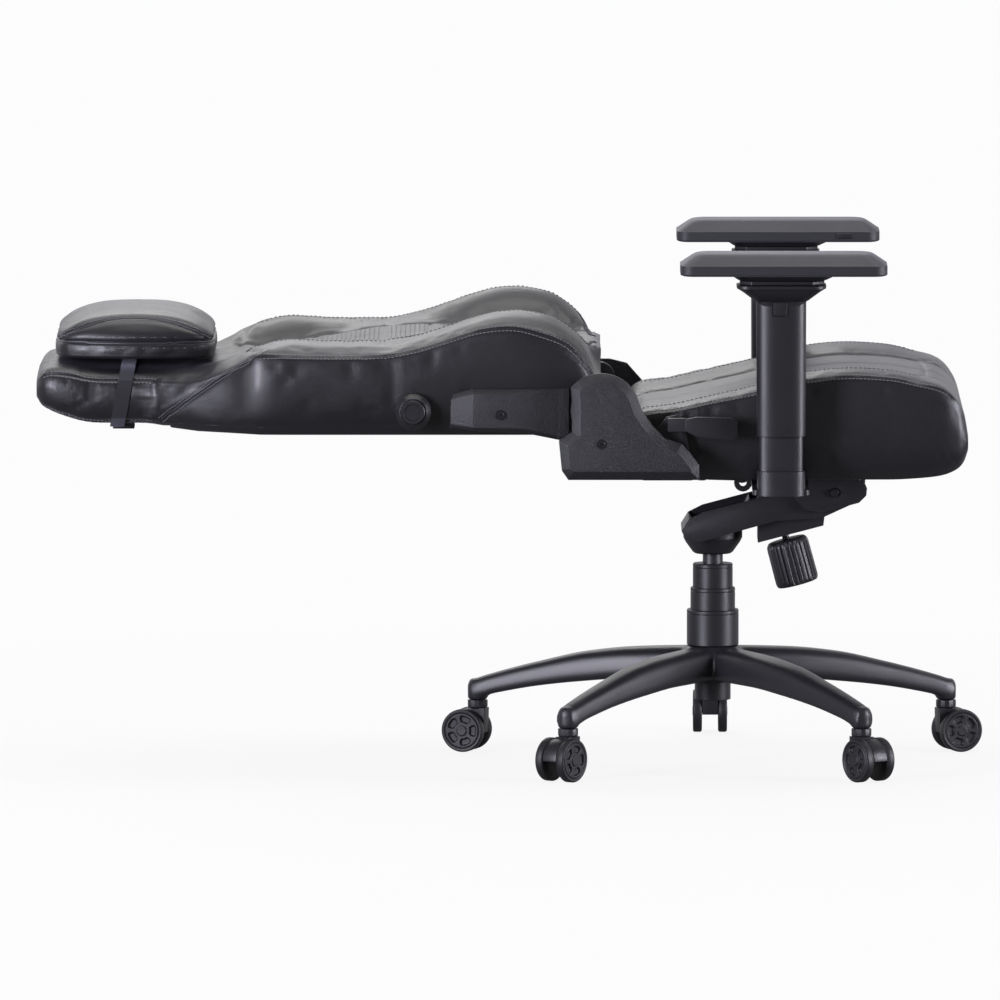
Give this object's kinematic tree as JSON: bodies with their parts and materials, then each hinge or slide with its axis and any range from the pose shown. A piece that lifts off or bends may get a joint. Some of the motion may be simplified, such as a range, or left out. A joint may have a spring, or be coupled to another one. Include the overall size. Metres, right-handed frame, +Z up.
{
  "type": "gaming chair",
  "caption": "Reclining gaming chair with a bucket seat, a backrest let down flat, a head pillow, adjustable armrests, a rocking gas-lift mechanism and a caster star base.",
  "frame": {"origin": "on the floor, under the middle of the chair's bounding box", "axes": "+X forward, from the head end towards the front of the seat; +Y to the sitter's left; +Z up. The gas lift's axis is at X 0.281, Y -0.023, and the sitter's centre plane is at Y -0.023."},
  "size_m": [1.3161, 0.733, 0.732],
  "materials": {
    "leather": "semi-matte black PU leather with fine grain",
    "webbing": "black elastic webbing",
    "grained_plastic": "black plastic with a coarse moulded grain",
    "smooth_plastic": "satin black plastic",
    "soft_pad": "satin black soft-touch polyurethane",
    "painted_steel": "satin black powder coat",
    "painted_aluminium": "satin black powder-coated cast aluminium",
    "bright_steel": "bright steel",
    "tyre": "satin black polyurethane"
  },
  "bodies": {
    "base": {"star_base": "painted_aluminium", "gas_cylinder": "painted_steel", "lift_cover_lower": "smooth_plastic"},
    "lift_cover": {"lift_cover_middle": "smooth_plastic"},
    "lift": {"piston_rod": "painted_steel", "lift_cover_upper": "smooth_plastic"},
    "mechanism": {"tilt_housing": "painted_steel", "tilt_pin": "bright_steel", "tension_spring": "bright_steel"},
    "lift_lever": {"lift_lever": "smooth_plastic"},
    "tension_knob": {"tension_knob": "smooth_plastic"},
    "seat": {"seat_plate": "painted_steel", "seat_pan": "painted_steel", "seat_cushion": "leather", "recliner_plate_left": "painted_steel", "pivot_bolt_left": "bright_steel", "hinge_cover_left": "grained_plastic", "arm_bracket_left": "painted_steel", "arm_post_left": "painted_steel", "recliner_plate_right": "painted_steel", "pivot_bolt_right": "bright_steel", "hinge_cover_right": "grained_plastic", "arm_bracket_right": "painted_steel", "arm_post_right": "painted_steel"},
    "recline_lever": {"recline_lever": "smooth_plastic"},
    "back": {"back_frame": "painted_steel", "back_cushion": "leather", "back_panel": "leather", "back_arm_left": "painted_steel", "back_arm_cover_left": "grained_plastic", "back_arm_right": "painted_steel", "back_arm_cover_right": "grained_plastic"},
    "lumbar_knob": {"lumbar_knob": "smooth_plastic"},
    "lumbar_plate": {"lumbar_plate": "smooth_plastic"},
    "pillow": {"pillow": "leather", "pillow_strap": "webbing", "strap_buckle": "smooth_plastic"},
    "arm_sleeve_left": {"arm_sleeve_left": "smooth_plastic"},
    "height_button_left": {"height_button_left": "smooth_plastic"},
    "swivel_plate_left": {"swivel_plate_left": "smooth_plastic"},
    "pad_slider_left": {"pad_slider_left": "smooth_plastic"},
    "arm_pad_left": {"arm_pad_left": "soft_pad"},
    "pad_button_left": {"pad_button_left": "smooth_plastic"},
    "arm_sleeve_right": {"arm_sleeve_right": "smooth_plastic"},
    "height_button_right": {"height_button_right": "smooth_plastic"},
    "swivel_plate_right": {"swivel_plate_right": "smooth_plastic"},
    "pad_slider_right": {"pad_slider_right": "smooth_plastic"},
    "arm_pad_right": {"arm_pad_right": "soft_pad"},
    "pad_button_right": {"pad_button_right": "smooth_plastic"},
    "caster_1": {"caster_hood_1": "smooth_plastic"},
    "wheels_1": {"caster_wheels_1": "tyre"},
    "caster_2": {"caster_hood_2": "smooth_plastic"},
    "wheels_2": {"caster_wheels_2": "tyre"},
    "caster_3": {"caster_hood_3": "smooth_plastic"},
    "wheels_3": {"caster_wheels_3": "tyre"},
    "caster_4": {"caster_hood_4": "smooth_plastic"},
    "wheels_4": {"caster_wheels_4": "tyre"},
    "caster_5": {"caster_hood_5": "smooth_plastic"},
    "wheels_5": {"caster_wheels_5": "tyre"}
  },
  "joints": [
    {"name": "lift_height", "type": "slide", "parent": "base", "child": "lift", "axis": [0, 0, 1], "range_m": [-0.05, 0.04]},
    {"name": "lift_cover_travel", "type": "slide", "parent": "base", "child": "lift_cover", "axis": [0, 0, 1], "range_m": [-0.025, 0.02]},
    {"name": "seat_swivel", "type": "hinge", "parent": "lift", "child": "mechanism", "pos_m": [0.281, -0.023, 0.3], "axis": [0, 0, 1], "continuous": true},
    {"name": "lift_lever_pull", "type": "hinge", "parent": "mechanism", "child": "lift_lever", "pos_m": [0.311, 0.0374, 0.338], "axis": [1, 0, 0], "range_deg": [0, 10], "stiffness_Nm_per_rad": 4, "springref_deg": -11.46},
    {"name": "tension_turn", "type": "hinge", "parent": "mechanism", "child": "tension_knob", "pos_m": [0.383, -0.023, 0.307], "axis": [0.2588, 0, -0.9659], "range_deg": [-360, 360]},
    {"name": "seat_rock", "type": "hinge", "parent": "mechanism", "child": "seat", "pos_m": [0.449, -0.023, 0.378], "axis": [0, -1, 0], "range_deg": [0, 12], "stiffness_Nm_per_rad": 280, "springref_deg": -20.05},
    {"name": "recline_lever_pull", "type": "hinge", "parent": "seat", "child": "recline_lever", "pos_m": [0.226, -0.302, 0.492], "axis": [0, -1, 0], "range_deg": [0, 30], "stiffness_Nm_per_rad": 2, "springref_deg": -5.73},
    {"name": "recline", "type": "hinge", "parent": "seat", "child": "back", "pos_m": [0.1243, -0.023, 0.5098], "axis": [0, 1, 0], "range_deg": [0, 90]},
    {"name": "lumbar_turn", "type": "hinge", "parent": "back", "child": "lumbar_knob", "pos_m": [-0.134, -0.308, 0.51], "axis": [0, -1, 0], "range_deg": [0, 360]},
    {"name": "lumbar_push", "type": "slide", "parent": "back", "child": "lumbar_plate", "axis": [0, 0, 1], "range_m": [0, 0.02]},
    {"name": "pillow_slide", "type": "slide", "parent": "back", "child": "pillow", "axis": [1, 0, 0], "range_m": [-0.02, 0.005]},
    {"name": "arm_height_left", "type": "slide", "parent": "seat", "child": "arm_sleeve_left", "axis": [0, 0, 1], "range_m": [-0.045, 0.03]},
    {"name": "height_button_left_press", "type": "slide", "parent": "arm_sleeve_left", "child": "height_button_left", "axis": [0, -1, 0], "range_m": [0, 0.002], "stiffness_N_per_m": 500, "springref_m": -0.002},
    {"name": "pad_swivel_left", "type": "hinge", "parent": "arm_sleeve_left", "child": "swivel_plate_left", "pos_m": [0.3716, 0.2705, 0.69], "axis": [0, 0, -1], "range_deg": [-20, 20]},
    {"name": "pad_sideways_left", "type": "slide", "parent": "swivel_plate_left", "child": "pad_slider_left", "axis": [0, 1, 0], "range_m": [-0.012, 0.015]},
    {"name": "pad_forward_left", "type": "slide", "parent": "pad_slider_left", "child": "arm_pad_left", "axis": [1, 0, 0], "range_m": [-0.012, 0.035]},
    {"name": "pad_button_left_press", "type": "slide", "parent": "arm_pad_left", "child": "pad_button_left", "axis": [0, 1, 0], "range_m": [0, 0.002], "stiffness_N_per_m": 500, "springref_m": -0.002},
    {"name": "arm_height_right", "type": "slide", "parent": "seat", "child": "arm_sleeve_right", "axis": [0, 0, 1], "range_m": [-0.045, 0.03]},
    {"name": "height_button_right_press", "type": "slide", "parent": "arm_sleeve_right", "child": "height_button_right", "axis": [0, 1, 0], "range_m": [0, 0.002], "stiffness_N_per_m": 500, "springref_m": -0.002},
    {"name": "pad_swivel_right", "type": "hinge", "parent": "arm_sleeve_right", "child": "swivel_plate_right", "pos_m": [0.3716, -0.3165, 0.69], "axis": [0, 0, 1], "range_deg": [-20, 20]},
    {"name": "pad_sideways_right", "type": "slide", "parent": "swivel_plate_right", "child": "pad_slider_right", "axis": [0, -1, 0], "range_m": [-0.012, 0.015]},
    {"name": "pad_forward_right", "type": "slide", "parent": "pad_slider_right", "child": "arm_pad_right", "axis": [1, 0, 0], "range_m": [-0.012, 0.035]},
    {"name": "pad_button_right_press", "type": "slide", "parent": "arm_pad_right", "child": "pad_button_right", "axis": [0, -1, 0], "range_m": [0, 0.002], "stiffness_N_per_m": 500, "springref_m": -0.002},
    {"name": "caster_1_swivel", "type": "hinge", "parent": "base", "child": "caster_1", "pos_m": [0.60769, 0.08315, 0.08], "axis": [0, 0, 1], "continuous": true},
    {"name": "wheels_1_roll", "type": "hinge", "parent": "caster_1", "child": "wheels_1", "pos_m": [0.62291, 0.08809, 0.03], "axis": [-0.309, 0.9511, 0], "continuous": true},
    {"name": "caster_2_swivel", "type": "hinge", "parent": "base", "child": "caster_2", "pos_m": [0.281, 0.3205, 0.08], "axis": [0, 0, 1], "continuous": true},
    {"name": "wheels_2_roll", "type": "hinge", "parent": "caster_2", "child": "wheels_2", "pos_m": [0.281, 0.3365, 0.03], "axis": [-1, 0, 0], "continuous": true},
    {"name": "caster_3_swivel", "type": "hinge", "parent": "base", "child": "caster_3", "pos_m": [-0.04569, 0.08315, 0.08], "axis": [0, 0, 1], "continuous": true},
    {"name": "wheels_3_roll", "type": "hinge", "parent": "caster_3", "child": "wheels_3", "pos_m": [-0.06091, 0.08809, 0.03], "axis": [-0.309, -0.9511, 0], "continuous": true},
    {"name": "caster_4_swivel", "type": "hinge", "parent": "base", "child": "caster_4", "pos_m": [0.0791, -0.3009, 0.08], "axis": [0, 0, 1], "continuous": true},
    {"name": "wheels_4_roll", "type": "hinge", "parent": "caster_4", "child": "wheels_4", "pos_m": [0.06969, -0.31384, 0.03], "axis": [0.809, -0.5878, 0], "continuous": true},
    {"name": "caster_5_swivel", "type": "hinge", "parent": "base", "child": "caster_5", "pos_m": [0.4829, -0.3009, 0.08], "axis": [0, 0, 1], "continuous": true},
    {"name": "wheels_5_roll", "type": "hinge", "parent": "caster_5", "child": "wheels_5", "pos_m": [0.49231, -0.31384, 0.03], "axis": [0.809, 0.5878, 0], "continuous": true}
  ],
  "couplings": [
    {"joint": "lift_cover_travel", "follows": "lift_height", "ratio": 0.5},
    {"joint": "lumbar_turn", "follows": "lumbar_push", "rad_per_m": 314.15}
  ]
}
